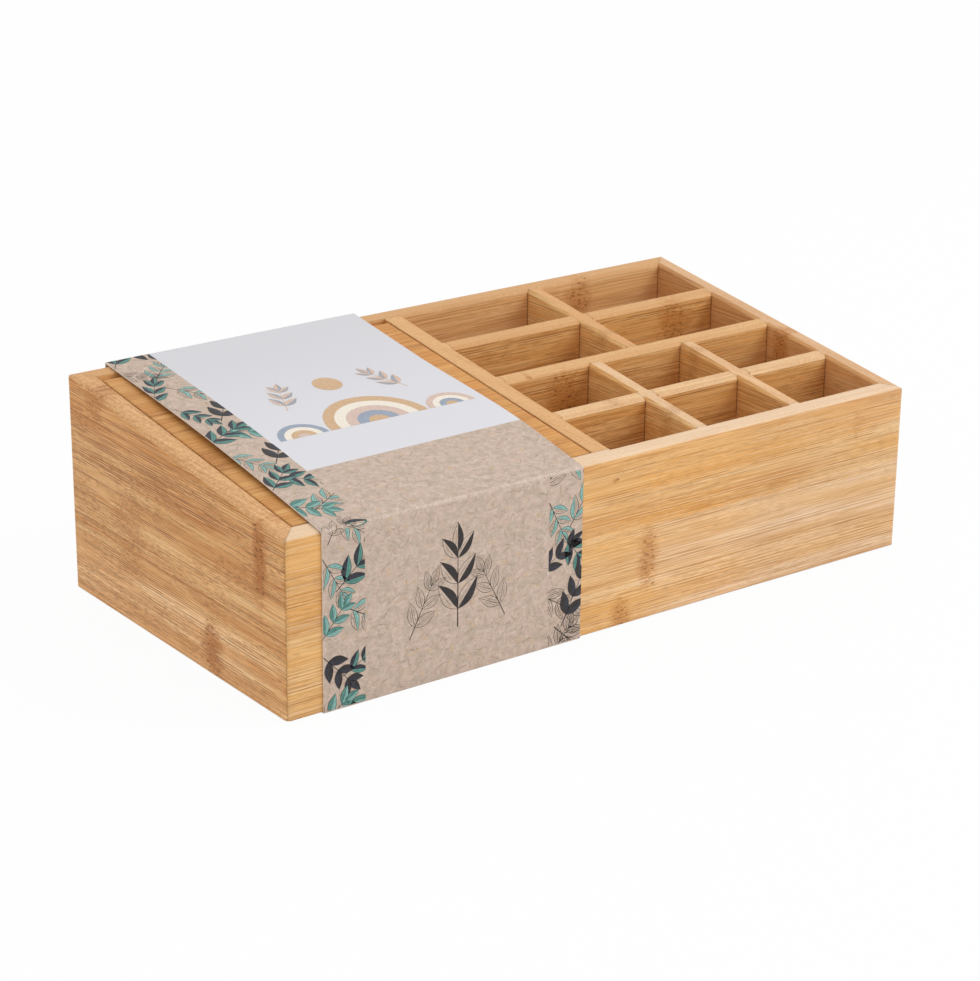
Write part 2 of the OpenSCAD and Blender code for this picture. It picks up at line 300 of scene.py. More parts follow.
# Group: board place in mm (along the grain, across the strips, through the board) to masks
def makeBambooGroup():
    inputs = {"Place": "Vector", "Seed": "Float", "Node Share": "Float"}
    outputs = dict.fromkeys(("Tone", "Band", "Hue", "Line", "Pale", "Fleck", "Node", "Strip"), "Float")
    tree, w, given = newGroup("bamboo_strips", "ShaderNodeTree", inputs, outputs)
    along, across, through = w.split(given["Place"])
    seed = given["Seed"]
    strip = w.calc("DIVIDE", w.scaled(seed, bamboo["stripShift"], across), bamboo["stripWidth"])
    chance, stripTone = w.chances(w.calc("FLOOR", strip), seed)[:2]
    along = w.scaled(seed, bamboo["boardShift"], along)
    # node: a short stretch of each strip
    turn = w.calc("DIVIDE", w.scaled(chance, bamboo["nodeShift"], along), bamboo["nodeEvery"])
    away = w.times(w.calc("SUBTRACT", w.calc("FRACT", turn), 0.5), bamboo["nodeEvery"])
    ragged = w.grained((0.0, across, through), (None, bamboo["raggedSize"], bamboo["raggedSize"]))
    away = w.calc("ABSOLUTE", w.swing(ragged, bamboo["nodeRagged"], away))
    knot = w.times(w.step(away, bamboo["nodeReach"], 0.5), given["Node Share"])
    # grain wanders a little; edge faces read the same lines through the board
    wander = w.grained((along, across, through), bamboo["wanderSize"])
    bent = w.swing(wander, bamboo["wander"], w.scaled(through, bamboo["throughShare"], across))

    def grain(size, detail, layer, roughness=0.5):
        return w.grained((along, bent, w.calc("ADD", seed, layer)), (*size, None), detail, roughness)

    # thin lines of pores at an uneven pitch, each broken into dashes
    def poreLines(pitch, thick, dashLength, layer):
        row = w.calc("DIVIDE", w.calc("ADD", bent, layer), pitch)
        number = w.calc("FLOOR", row)
        shift, weight, phase = w.chances(number, w.calc("ADD", seed, layer))
        off = w.swing(shift, 0.5, w.calc("SUBTRACT", w.calc("FRACT", row), 0.5))
        stroke = w.step(w.times(w.calc("ABSOLUTE", off), pitch), thick, thick * bamboo["lineSoft"])
        dash = w.grained((along, w.times(phase, bamboo["dashSpread"]), number), (dashLength, None, None))
        return w.times(stroke, w.step(dash, *bamboo["dashRise"]), w.scaled(weight, *bamboo["lineWeight"]))

    fine = w.times(poreLines(*bamboo["fineLines"]), bamboo["fineShare"])
    lines = w.calc("MAXIMUM", poreLines(*bamboo["coarseLines"]), fine)
    crowded = w.step(grain(bamboo["crowds"], 1.0, 17.0), *bamboo["crowdRise"])
    fleckField = w.step(grain(bamboo["fleckFields"], 1.0, 9.0), *bamboo["fieldRise"])
    flecks = w.step(grain(bamboo["flecks"], 1.0, 3.0), *bamboo["fleckRise"])
    specks = w.step(w.grained((along, bent, through), bamboo["specks"]), *bamboo["speckRise"])
    w.add("NodeGroupOutput", {
        "Tone": w.swing(grain(bamboo["fibres"], 3.0, 0.0, 0.65), bamboo["fibreSwing"], 0.5),
        "Band": grain(bamboo["bands"], 2.0, 1.0),
        "Hue": grain(bamboo["hues"], 2.0, 5.0),
        "Line": w.times(lines, w.scaled(crowded, *bamboo["crowding"])),
        "Pale": poreLines(*bamboo["paleLines"]),
        "Fleck": w.times(flecks, fleckField),
        "Node": w.scaled(w.times(specks, knot), bamboo["speckShade"], w.times(knot, bamboo["knotShade"])),
        "Strip": stripTone})
    return tree


# Knot scar: a soft brown patch, dark pores drawn out along the grain in a loose column, and torn fibres; mm.
# A reach is where a mask is gone and where it is full, pore size is gain and base.
scar = dict(
    sway=4, swaySize=5, frayed=(3, 0.9), poreSpacing=1.4, poreReach=(0.351, 0.162), poreStretch=2.5,
    poreSize=(0.8, 0.2), columnOff=0.1, columnRise=(0.85, 0.5), heightRise=(1, 0.85), torn=(2.4, 0.6),
    tornRise=(0.52, 0.62), tornReach=(1.2, 0.4), tornShare=0.62, patchSwing=2, patchReach=(1.35, 0.3))


def makeKnotGroup():
    inputs = {"Place": "Vector", **dict.fromkeys(("Along", "Across", "Half Length", "Half Height"), "Float")}
    tree, w, given = newGroup("bamboo_knot", "ShaderNodeTree", inputs, {"Patch": "Float", "Dots": "Float"})
    along, across, through = w.split(given["Place"])
    sway = w.grained((0.0, across, given["Along"]), (None, scar["swaySize"], None), 1.0)
    beside = w.swing(sway, scar["sway"], w.calc("SUBTRACT", along, given["Along"]))
    beside = w.calc("DIVIDE", beside, given["Half Length"])
    above = w.calc("DIVIDE", w.calc("SUBTRACT", across, given["Across"]), given["Half Height"])
    far = w.distance(beside, above)
    frayed = w.grained((along, across, through), (*scar["frayed"], None), 2.0, 0.6)
    drawnOut = w.join(w.calc("DIVIDE", along, scar["poreStretch"]), across, 0.0)
    pores = w.cells(drawnOut, scar["poreSpacing"])
    size = w.scaled(w.split(pores["Color"])[0], *scar["poreSize"])
    dots = w.step(w.calc("DIVIDE", pores["Distance"], size), *scar["poreReach"])
    offColumn = w.calc("ABSOLUTE", w.calc("SUBTRACT", beside, scar["columnOff"]))
    dots = w.times(dots, w.step(offColumn, *scar["columnRise"]),
                   w.step(w.calc("ABSOLUTE", above), *scar["heightRise"]))
    torn = w.grained((along, across, given["Along"]), (*scar["torn"], None), 2.0, 0.6)
    torn = w.times(w.step(torn, *scar["tornRise"]), w.step(far, *scar["tornReach"]))
    patch = w.step(w.swing(frayed, scar["patchSwing"], far), *scar["patchReach"])
    w.add("NodeGroupOutput", {"Patch": patch,
                              "Dots": w.calc("MAXIMUM", dots, w.times(torn, scar["tornShare"]))})
    return tree


bambooGroup = makeBambooGroup()
knotGroup = makeKnotGroup()

# Which coordinates run along the grain, across the strips and through the board
grains = {"rightward": (0, 2, 1), "rearward": (1, 2, 0), "flat": (0, 1, 2)}
# How far a surface must face up to take the top edge's paler colour, partly painted sheen, where the board
# doesn't say it
edgeReach = dict(rightward=0.4, rearward=0.84)
darkInk = dict(pores=(118, 66, 28), scar=(190, 114, 40), scarPores=(116, 62, 24), joint=(98, 50, 20))
# Shares with which each thing shows; tone stops are where the dark, middle and light colours lie
shown = dict(
    band=0.9, strip=0.3, toneStops=(0.05, 0.5, 0.95), warmRise=(0.42, 0.62), warm=0.6, edge=0.9,
    edgeSoft=0.1, edgeDots=(0.9, 3, 0.75), edgeSwing=3, edgeDark=0.3, edgePaleRise=(0.75, 1.3),
    poreDepth=0.5, scarDepth=0.6, node=0.55, patch=0.72, dots=0.7, joint=0.62, jointWidth=(0.55, 0.12),
    lineRelief=0.8, stripSoft=(12, 0.2))


def makeBamboo(name, board):
    grain, lines, speckle = board["grain"], board["lines"], board["speckle"]
    knots = board.get("knots", [])
    dark, middle, light, warm, edge = (tint(*colour) for colour in board["colours"])
    material, w, shader = newMaterial(name)
    axes = w.split(w.coordinates("Object"))
    place = w.join(*(w.times(axes[i], 1 / mm) for i in grains[grain]))
    closer = w.add("ShaderNodeVectorMath", {0: place, "Scale": board["fineness"]}, operation="SCALE")
    given = {"Place": closer.outputs[0], "Seed": board["seed"], "Node Share": 0.0 if knots else 1.0}
    fibres = w.add("ShaderNodeGroup", given, node_tree=bambooGroup).outputs
    tone = w.swing(fibres["Band"], shown["band"] * board["contrast"], fibres["Tone"])
    tone = w.swing(fibres["Strip"], shown["strip"] * board["contrast"], tone)
    face = w.ramp(tone, list(zip(shown["toneStops"], (dark, middle, light))))
    face = w.mix(w.times(w.step(fibres["Hue"], *shown["warmRise"]), shown["warm"]), face, warm)
    along, across = w.split(place)[:2]
    softAlong, softAcross = shown["stripSoft"]
    # patches of another colour; the front panel's lighter near end among them is painted light
    for start, end, low, high, gain in board.get("strips", []):
        inside = w.times(w.between(along, start, end, softAlong), w.between(across, low, high, softAcross))
        face = w.mix(inside, face, w.mix(1.0, face, (*gain, 1), blend="MULTIPLY"))
    # sawn top edges are paler, partly their own tone and partly painted sheen, with fine dots of cut fibres
    facing = w.split(w.coordinates("Normal"))
    reach = board.get("edgeReach", edgeReach.get(grain))
    up = w.step(facing[2], reach - shown["edgeSoft"], reach + shown["edgeSoft"]) if reach else 0.0
    edgeTone = w.swing(w.noise(place, *shown["edgeDots"]), shown["edgeSwing"] * speckle, fibres["Tone"])
    edgeDark = w.mix(shown["edgeDark"] * (1 + speckle), edge, dark)
    edgeToneAndSheen = w.mix(w.step(edgeTone, 0.0, 1.0), edgeDark, edge)
    edgeToneAndSheen = w.mix(w.times(w.step(edgeTone, *shown["edgePaleRise"]), speckle), edgeToneAndSheen, light)
    colour = w.mix(w.times(up, shown["edge"]), face, edgeToneAndSheen)
    # lines and flecks are weaker on the top edges
    pore = w.mix(shown["poreDepth"], dark, tint(*darkInk["pores"]))
    fleckShare = (0.15 + 0.3 * speckle) * lines
    for mask, share, lessUp, ink in (("Pale", 0.6 * lines, 0.5 * lines, light),
                                     ("Line", lines, 0.75 * lines, pore),
                                     ("Fleck", fleckShare, fleckShare, pore)):
        colour = w.mix(w.times(fibres[mask], w.scaled(up, -lessUp, share)), colour, ink)
    colour = w.mix(w.times(fibres["Node"], shown["node"]), colour, pore)
    brown = w.mix(shown["scarDepth"], dark, tint(*darkInk["scar"]))
    for *spot, strength in knots:
        knot = w.add("ShaderNodeGroup", {0: place, **dict(enumerate(spot, 1))}, node_tree=knotGroup).outputs
        colour = w.mix(w.times(knot["Patch"], shown["patch"] * strength), colour, brown)
        colour = w.mix(w.times(knot["Dots"], shown["dots"] * strength), colour, tint(*darkInk["scarPores"]))
    # thin dark joint where another board meets the front face or the rear face of this one
    for places, towards in zip(board.get("joints", []), (-1, 1)):
        near = None
        for joint in places:
            away = w.calc("ABSOLUTE", w.calc("SUBTRACT", along, joint))
            near = away if near is None else w.calc("MINIMUM", near, away)
        if near:
            line = w.step(near, *shown["jointWidth"])
            line = w.times(line, w.step(facing[1], towards * 0.9, towards * 0.98), shown["joint"])
            colour = w.mix(line, colour, tint(*darkInk["joint"]))
    height = w.calc("SUBTRACT", fibres["Tone"], w.times(fibres["Line"], shown["lineRelief"]))
    soft = w.add("ShaderNodeBevel", {"Radius": bamboo["softEdge"] * mm}, samples=4).outputs[0]
    w.fill(shader, {"Base Color": colour, "Roughness": w.scaled(fibres["Tone"], *bamboo["roughness"]),
                    "Specular IOR Level": bamboo["specular"],
                    "Normal": w.bump(height, *bamboo["relief"], soft)})
    return material


# Places along a board where crossing boards meet it; joints lists its front face's, then its rear face's
columnPlaces = [2.3, 39.733, 45.933, 83.367, 89.567, 127.0]
rearPlaces = [2.3, 61.55, 67.75, 127.0]
# Dividers' colours inside the cells: their own tone, made paler and more yellow as painted light
cellWallToneAndLight = ((192, 126, 62), (238, 184, 116), (248, 212, 154), (236, 174, 98))
divider = dict(grain="rightward", contrast=1.1, lines=1, speckle=0.5, fineness=1.3)
columnDivider = dict(divider, grain="rearward", lines=0.9)
# Colours are dark, middle, light, warm and top edge, whose paler tone is partly painted sheen; lines is the
# share of the pore lines, speckle that of the dots on the top edge, and fineness says how close the grain is.
# Knots: place along and across the grain, half length, half height (mm), strength.
# Strips of another colour: from and to along the grain, from and to across it (mm), gain of each colour; the
# front panel's lighter near end is painted light.
boards = dict(
    front_panel=dict(
        grain="rightward", seed=1, contrast=1.15, lines=0.9, speckle=0.3, fineness=1.25,
        colours=((206, 148, 86), (234, 192, 138), (246, 216, 178), (234, 180, 108), (244, 218, 187)),
        edgeReach=0.7, joints=([], columnPlaces),
        knots=[(14.4, 23, 4.6, 12, 0.8), (2, 4.6, 4.6, 6.5, 0.8), (-1, 54.7, 1.6, 1, 0.8),
               (112, 52, 3, 7, 0.25)],
        strips=[(-150, 85, 34.7, 70, (0.94, 0.84, 0.68)), (14, 150, -5, 34.7, (1.02, 1.1, 1.38)),
                # lighter near end over the whole height: painted light
                (-150, 58, -5, 70, (1.09, 1.08, 1.03)),
                (88, 150, 50, 70, (0.96, 0.9, 0.86))]),
    # back panel colours are a little paler as painted light for its face inside the cells
    back_panel=dict(
        grain="rightward", seed=2.3, contrast=0.7, lines=0.6, speckle=0.8, fineness=1.1,
        colours=((208, 150, 90), (240, 190, 132), (248, 212, 162), (236, 180, 112), (212, 164, 113)),
        joints=(rearPlaces, []), knots=[(86.5, 71, 6.5, 9.5, 0.8), (-60, 40, 5, 12, 0.6)]),
    left_panel=dict(
        grain="rearward", seed=3.1, contrast=0.8, lines=1.15, speckle=0.8, fineness=1.6,
        colours=((157, 95, 44), (236, 177, 111), (250, 212, 156), (206, 138, 70), (240, 190, 134)),
        edgeReach=0.45,
        knots=[(-55, 51, 4.4, 14.5, 1.15), (-24.6, 9.5, 6.5, 11, 0.95), (29, 37, 12, 14, 0.5),
               (51, 75, 7, 7, 0.55)],
        strips=[(-57, 20, 38, 60, (0.9, 0.82, 0.7)), (-80, -42, -5, 20, (1.05, 1.07, 1.14)),
                (-42, 90, -5, 20, (1.17, 1.28, 1.54)),
                (-10, 90, 62, 90, (0.98, 0.93, 0.86))]),
    right_panel=dict(
        grain="rearward", seed=4.6, contrast=0.9, lines=0.7, speckle=0.5, fineness=1.2,
        colours=((196, 136, 82), (224, 170, 112), (238, 196, 144), (222, 160, 98), (226, 186, 144)),
        knots=[(-11, 62, 4.5, 11, 1.05)]),
    partition=dict(
        grain="rearward", seed=5.2, contrast=0.9, lines=0.7, speckle=0.6, fineness=1.2,
        colours=((190, 128, 72), (222, 166, 106), (236, 190, 136), (222, 158, 92), (232, 184, 126))),
    row_divider_front=dict(
        divider, seed=6.4, colours=(*cellWallToneAndLight, (243, 206, 158)),
        joints=(columnPlaces, columnPlaces)),
    row_divider_middle=dict(
        divider, seed=7.9, colours=(*cellWallToneAndLight, (231, 186, 131)), contrast=1.2,
        joints=(columnPlaces, rearPlaces), knots=[(28, 60.5, 8, 9.5, 0.9), (12.8, 71, 1.4, 0.8, 0.9)]),
    row_divider_rear=dict(
        divider, seed=8.5, colours=(*cellWallToneAndLight, (224, 176, 121)),
        joints=(rearPlaces, rearPlaces), knots=[(107, 66, 8, 10, 0.8)]),
    column_divider_rear=dict(**columnDivider, seed=9.7, colours=(*cellWallToneAndLight, (226, 173, 118))),
    column_divider_front_left=dict(**columnDivider, seed=10.2, colours=(*cellWallToneAndLight, (241, 207, 166))),
    column_divider_front_right=dict(**columnDivider, seed=11.8, colours=(*cellWallToneAndLight, (239, 198, 152))),
    lid_board=dict(
        grain="flat", seed=12.4, contrast=1, lines=0.9, speckle=0, fineness=1.3,
        colours=((170, 104, 44), (215, 156, 88), (230, 180, 114), (206, 139, 70), (200, 140, 78)),
        strips=[(-45, 20, -80, 80, (1.08, 1.05, 0.92))]),
    base_panel=dict(
        grain="flat", seed=13.3, contrast=0.8, lines=0.4, speckle=0, fineness=1,
        colours=((186, 130, 78), (214, 160, 106), (230, 186, 134), (214, 154, 96), (208, 156, 102))),
    lid_rest_cleat=dict(
        grain="rightward", seed=14.6, contrast=0.8, lines=0.3, speckle=0.2, fineness=1,
        colours=((190, 134, 80), (214, 162, 106), (232, 186, 132), (214, 154, 92), (226, 180, 126))),
)
for node, board in boards.items():
    wear(node, makeBamboo(node + "_bamboo", board))
print("bamboo boards done")

# Kraft card with clouds of other shades and with chips of fibre; the cut edges show the pale core.
# Mottles: shade, noise scale, shift, share. Chips: cell size, length, thickness (mm), seed, shade, share.
# Rise, roughness and relief are pairs as in bamboo; noises are scale, detail and roughness.
card = dict(
    paper=(199, 177, 160), pinkish=(210, 185, 171), greyish=(190, 173, 155), paleFleck=(226, 208, 194),
    darkFleck=(150, 124, 104), tanFleck=(212, 178, 138), core=(240, 236, 230), coreShade=(226, 220, 212),
    print=(223, 222, 227), printRear=(214, 213, 217), fieldLeft=17.4, fieldLength=105.6, fieldSoft=0.1,
    fadeLength=100, creaseAlong=141.6, rubWidth=(1.1, 0.2), rubNoise=(0.9, 3, 0.7), rubRise=(0.42, 0.6),
    rubShare=0.6, fineNoise=(0.35, 4, 0.75), fineRise=(0.36, 0.64), fineShare=0.5,
    mottleRise=(0.44, 0.64), chipShift=(13.7, 7.1), chipTurn=(4, -0.43), chipRise=(1.15, 0.7),
    chipChance=(0.4, 0.55), reliefNoise=(1.4, 3, 0.7), specular=0.3, paperRoughness=(0.1, 0.7),
    filmRoughness=(-0.25, 0.72), relief=(0.25, 0.00005),
    mottles=[("pinkish", 0.3, 0, 0.75), ("greyish", 0.24, 40, 0.75), ("darkFleck", 0.42, 90, 0.16)],
    chips=[(3.3, 1.8, 0.42, 1, "paleFleck", 0.28), (3.9, 2.4, 0.26, 2, "darkFleck", 0.32),
           (2.3, 1.2, 0.32, 3, "paleFleck", 0.24), (6.4, 1.6, 0.55, 4, "tanFleck", 0.4),
           (1.7, 0.6, 0.24, 5, "darkFleck", 0.28), (2.9, 1.5, 0.26, 6, "darkFleck", 0.2)])


# Paper with single chips, each turned its own way; place is in mm on the flat net
def fleckedPaper(w, place):
    fine = w.times(w.step(w.noise(place, *card["fineNoise"]), *card["fineRise"]), card["fineShare"])
    colour = w.mix(fine, tint(*card["paper"]), tint(*card["paleFleck"]))
    for shade, scale, shift, share in card["mottles"]:
        cloud = w.noise(w.shifted(place, (shift, shift, 0)), scale, 3.0, 0.65)
        colour = w.mix(w.times(w.step(cloud, *card["mottleRise"]), share), colour, tint(*card[shade]))
    shiftX, shiftY = card["chipShift"]
    for size, long, thin, seed, shade, share in card["chips"]:
        moved = w.shifted(place, (seed * shiftX, seed * shiftY, 0))
        cells = w.cells(moved, size)
        away = w.add("ShaderNodeVectorMath", {0: moved, 1: cells["Position"]}, operation="SUBTRACT")
        angle, chance, tone = w.split(cells["Color"])
        inputs = {"Vector": away.outputs[0], "Angle": w.scaled(angle, *card["chipTurn"])}
        turned = w.add("ShaderNodeVectorRotate", inputs, rotation_type="Z_AXIS")
        x, y = w.split(turned.outputs[0])[:2]
        far = w.distance(w.calc("DIVIDE", x, long), w.calc("DIVIDE", y, thin))
        chip = w.times(w.step(far, *card["chipRise"]), w.step(chance, *card["chipChance"]))
        colour = w.mix(w.times(chip, w.scaled(tone, share, share * 0.4)), colour, tint(*card[shade]))
    return colour


def makeCardMaterial(name, outside):
    material, w, shader = newMaterial(name)
    place = w.coordinates("UV")
    colour = fleckedPaper(w, place)
    if outside:
        # the pale printed field stops short of the leaf strip and of the front crease
        across, down = w.split(place)[:2]
        left, end, soft = card["fieldLeft"], card["fieldLength"], card["fieldSoft"]
        field = w.times(w.step(across, left - soft, left + soft), w.step(down, end + soft, end - soft))
        film = w.mix(w.step(down, 0.0, card["fadeLength"]), tint(*card["printRear"]), tint(*card["print"]))
        colour = w.mix(field, colour, film)
        # rubbed paper along the front crease
        rub = w.step(w.calc("ABSOLUTE", w.calc("SUBTRACT", down, card["creaseAlong"])), *card["rubWidth"])
        rub = w.times(rub, w.step(w.noise(place, *card["rubNoise"]), *card["rubRise"]), card["rubShare"])
        colour = w.mix(rub, colour, tint(*card["paleFleck"]))
        roughness = w.scaled(field, *card["filmRoughness"])
    else:
        roughness = w.scaled(w.noise(place, 0.6), *card["paperRoughness"])
    w.fill(shader, {"Base Color": colour, "Roughness": roughness, "Specular IOR Level": card["specular"],
                    "Normal": w.bump(w.noise(place, *card["reliefNoise"]), *card["relief"])})
    return material


def makeInk(name, colour, second, roughness=0.5):
    material, w, shader = newMaterial(name)
    streak = w.noise(w.coordinates("Object"), 900.0, 2.0, 0.6)
    w.fill(shader, {"Base Color": w.mix(w.step(streak, 0.35, 0.7), tint(*colour), tint(*second)),
                    "Roughness": w.scaled(streak, 0.15, roughness), "Specular IOR Level": card["specular"]})
    return material


# Card sleeve as one flat net, folded round the case: across runs from its left edge, along from the rear
# crease over the top to the front crease, then down the front, under the case and up the back; all in mm
sleeveLow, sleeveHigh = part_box("sleeve")
band = dict(
    left=sleeveLow.x / mm, wide=(sleeveHigh.x - sleeveLow.x) / mm, half=0.2, skinY=70.4, creaseY=70.4,
    creaseZ=81.0547, slope=7.3264, run=141.95, backTop=80.6, leftBow=1.6, rightBow=1.7, rightPeak=0.72,
    rightReach=0.42, askewFront=-0.3, askewRear=1.5, creaseRadius=0.9, foldRadius=0.3, printLift=0.03,
    cellsAcross=42, cellsAlong=96, creaseSteps=8, wrapAcross=12, wrapAlong=16, foldSteps=5, noseSteps=5)
slope = math.radians(band["slope"])
fold = band["foldRadius"]
# the front crease is rounded: its bend belongs to the top panel, and the front starts below it
creaseTurn = math.pi / 2 - slope
creaseTangent = band["creaseRadius"] * math.tan(creaseTurn / 2)
flatRun = band["run"] - creaseTangent
topLength = flatRun + band["creaseRadius"] * creaseTurn
frontTop = band["creaseZ"] - band["run"] * math.sin(slope) - creaseTangent
frontLength = frontTop - fold - band["half"]
underLength = 2 * (band["skinY"] - fold)
backLength = band["backTop"] - fold - band["half"]
arcLength = fold * math.pi / 2
bodyStart = topLength + 1
underStart = bodyStart + frontLength
backStart = underStart + 2 * arcLength + underLength


# Height of the card's middle over the straight line between its creases; shares run 0 to 1
def bowHeight(acrossShare, alongShare):
    left = band["leftBow"] * math.sin(math.pi * alongShare)
    peak = band["rightPeak"]
    reach = band["rightReach"] if alongShare < peak else 1 - peak
    offset = min(abs((alongShare - peak) / reach), 1)
    right = band["rightBow"] * math.cos(offset * math.pi / 2) ** 1.5
    blend = acrossShare * acrossShare * (3 - 2 * acrossShare)
    return left * (1 - blend) + right * blend


# Y and Z on the top panel and its rounded front crease
def topPlace(across, along, lift):
    run = min(along, flatRun)
    past = max(along - topLength, 0)
    turn = min(max(along - flatRun, 0) / band["creaseRadius"], creaseTurn)
    reach = band["creaseRadius"] + lift
    ahead = run + reach * math.sin(turn) + past * math.cos(turn)
    up = bowHeight(across / band["wide"], min(max(run / flatRun, 0), 1))
    up += lift if turn == 0 else reach * math.cos(turn) - band["creaseRadius"] - past * math.sin(turn)
    return (band["creaseY"] - ahead * math.cos(slope) - up * math.sin(slope),
            band["creaseZ"] - ahead * math.sin(slope) + up * math.cos(slope))


# Y and Z on the front, the underside and the back, with a quarter fold after each of the first two
def wrapPlace(along, lift):
    skin, low = band["skinY"], band["half"] + fold
    down = along - bodyStart
    under = down - frontLength
    up = under - arcLength - underLength
    if under <= 0:
        outY, outZ = -1.0, 0.0
        y, z = -skin, frontTop - down
    elif up <= 0:
        turn = min(under / arcLength, 1) * math.pi / 2
        outY, outZ = -math.cos(turn), -math.sin(turn)
        y, z = fold - skin + fold * outY + max(under - arcLength, 0), low + fold * outZ
    else:
        turn = min(up / arcLength, 1) * math.pi / 2
        outY, outZ = math.sin(turn), -math.cos(turn)
        y, z = skin - fold + fold * outY, low + fold * outZ + max(up - arcLength, 0)
    return y + lift * outY, z + lift * outZ


# Point of the folded net in metres, lifted off the card's middle towards its outside
def netPoint(across, along, lift):
    onTop = along <= topLength + 0.5
    y, z = topPlace(across, along, lift) if onTop else wrapPlace(along, lift)
    share = (y + band["skinY"]) / (2 * band["skinY"])
    x = band["left"] + across + band["askewFront"] * (1 - share) + band["askewRear"] * share
    return Vector((x, y, z)) * mm


def toMesh(name, build, materials=()):
    mesh = bpy.data.meshes.new(name)
    build.to_mesh(mesh)
    build.free()
    for material in materials:
        mesh.materials.append(material)
    return mesh


# A length of the net as a closed sheet: outer skin, round nose, inner skin, round nose
def makeSheet(name, stations, columns, materials):
    half, noses = band["half"], band["noseSteps"]
    turn = [math.pi * k / (noses + 1) for k in range(1, noses + 1)]
    outline = [(d, half) for d in stations]
    outline += [(stations[-1] + half * math.sin(t), half * math.cos(t)) for t in turn]
    outline += [(d, -half) for d in reversed(stations)]
    outline += [(stations[0] - half * math.sin(t), -half * math.cos(t)) for t in turn]
    build = bmesh.new()
    uv = build.loops.layers.uv.new("net")
    rings = [[build.verts.new(netPoint(x, d, lift)) for d, lift in outline] for x in columns]
    count, n = len(outline), len(stations) - 1

    def face(corners, places, slot):
        made = build.faces.new(corners)
        made.material_index = slot
        for loop, place in zip(made.loops, places):
            loop[uv].uv = place

    for (ring, x), (following, nextX) in zip(zip(rings, columns), zip(rings[1:], columns[1:])):
        for j in range(count):
            k = (j + 1) % count
            (a, liftA), (b, liftB) = outline[j], outline[k]
            face((ring[j], following[j], following[k], ring[k]), ((x, a), (nextX, a), (nextX, b), (x, b)),
                 0 if min(liftA, liftB) >= 0 else 1)
    # cut edges: thin bands between the two skins
    for ring, x in ((rings[0], columns[0]), (rings[-1], columns[-1])):
        for i in range(n):
            low = n + 1 + noses + (n - i)
            face((ring[i], ring[i + 1], ring[low - 1], ring[low]), ((x, outline[i][0]),) * 4, 2)
        face(ring[n:n + noses + 2], ((x, outline[n][0]),) * (noses + 2), 2)
        face(ring[n + 1 + noses + n:] + ring[:1], ((x, 0),) * (noses + 2), 2)
    bmesh.ops.recalc_face_normals(build, faces=build.faces)
    mesh = toMesh(name, build, materials)
    mesh.polygons.foreach_set("use_smooth", [True] * len(mesh.polygons))
    mesh.set_sharp_from_angle(angle=math.radians(40))
    return addToScene(name, mesh)


# Places from a start to each further stop, with so many steps to it
def spread(start, *stops):
    places = [start]
    for stop, count in stops:
        low = places[-1]
        places += [low + (stop - low) * i / count for i in range(1, count + 1)]
    return places


cardMaterials = [makeCardMaterial("card_kraft", True), makeCardMaterial("card_inside", False),
                 makeInk("card_core", card["core"], card["coreShade"], 0.6)]
topStations = spread(0, (flatRun, band["cellsAlong"]), (topLength, band["creaseSteps"]))
topColumns = spread(0, (band["wide"], band["cellsAcross"]))
topSheet = makeSheet("sleeve_top_card", topStations, topColumns, cardMaterials)
wrapStations = spread(bodyStart, (underStart, band["wrapAlong"]), (underStart + arcLength, band["foldSteps"]),
                      (backStart - arcLength, band["wrapAlong"]), (backStart, band["foldSteps"]),
                      (backStart + backLength, band["wrapAlong"]))
wrapColumns = spread(0, (band["wide"], band["wrapAcross"]))
bodySheet = makeSheet("sleeve_card", wrapStations, wrapColumns, cardMaterials)
for piece, node in ((topSheet, "sleeve_top"), (bodySheet, "sleeve")):
    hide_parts(node)
    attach(piece, node)
print("card sleeve done")

# Print on the card: sprigs of rounded leaves along the edge strips, plain arches on the pale field
inks = dict(
    teal=((84, 136, 128), (98, 152, 142)), mint=((130, 178, 170), (146, 194, 184)),
    slate=((48, 50, 60), (60, 62, 72)), line=((46, 42, 42), (60, 54, 52)),
    sand=((206, 170, 132), (214, 182, 146)), cream=((240, 230, 214), (244, 236, 222)),
    blush=((212, 186, 172), (220, 196, 184)), dusk=((150, 160, 176), (162, 172, 186)))
inkNames = list(inks)
inkMaterials = [makeInk("ink_" + name, *shades) for name, shades in inks.items()]
# Sizes in mm, lean in degrees; each rib has its place beside the middle (share of the leaf's half width), its
# start and end (shares of the length) and half its thickness
sprig = dict(
    stem=17, stemWidth=0.3, pairs=3, leaf=8.2, leafWidth=3.5, lean=38, segments=10, border=0.18,
    bulge=0.85, inkLift=0.004, ribLift=0.008,
    ribs=[(-0.5, 0.24, 0.74, 0.055), (0, 0.1, 0.9, 0.1), (0.5, 0.24, 0.74, 0.055)])


def startPrint():
    build = bmesh.new()
    build.faces.layers.int.new("ink")
    return build


# A flat face turned and moved to its place (x, y, angle)
def addShape(build, ink, points, place=(0, 0, 0), layer=0.0):
    left, low, angle = place
    cos, sin = math.cos(angle), math.sin(angle)
    corners = [(left + x * cos - y * sin, low + x * sin + y * cos, layer) for x, y in points]
    made = build.faces.new([build.verts.new(corner) for corner in corners])
    made[build.faces.layers.int["ink"]] = inkNames.index(ink)


# Half the width of a leaf at a share of its length
def leafHalf(width, share):
    return width / 2 * math.sin(math.pi * share ** sprig["bulge"])


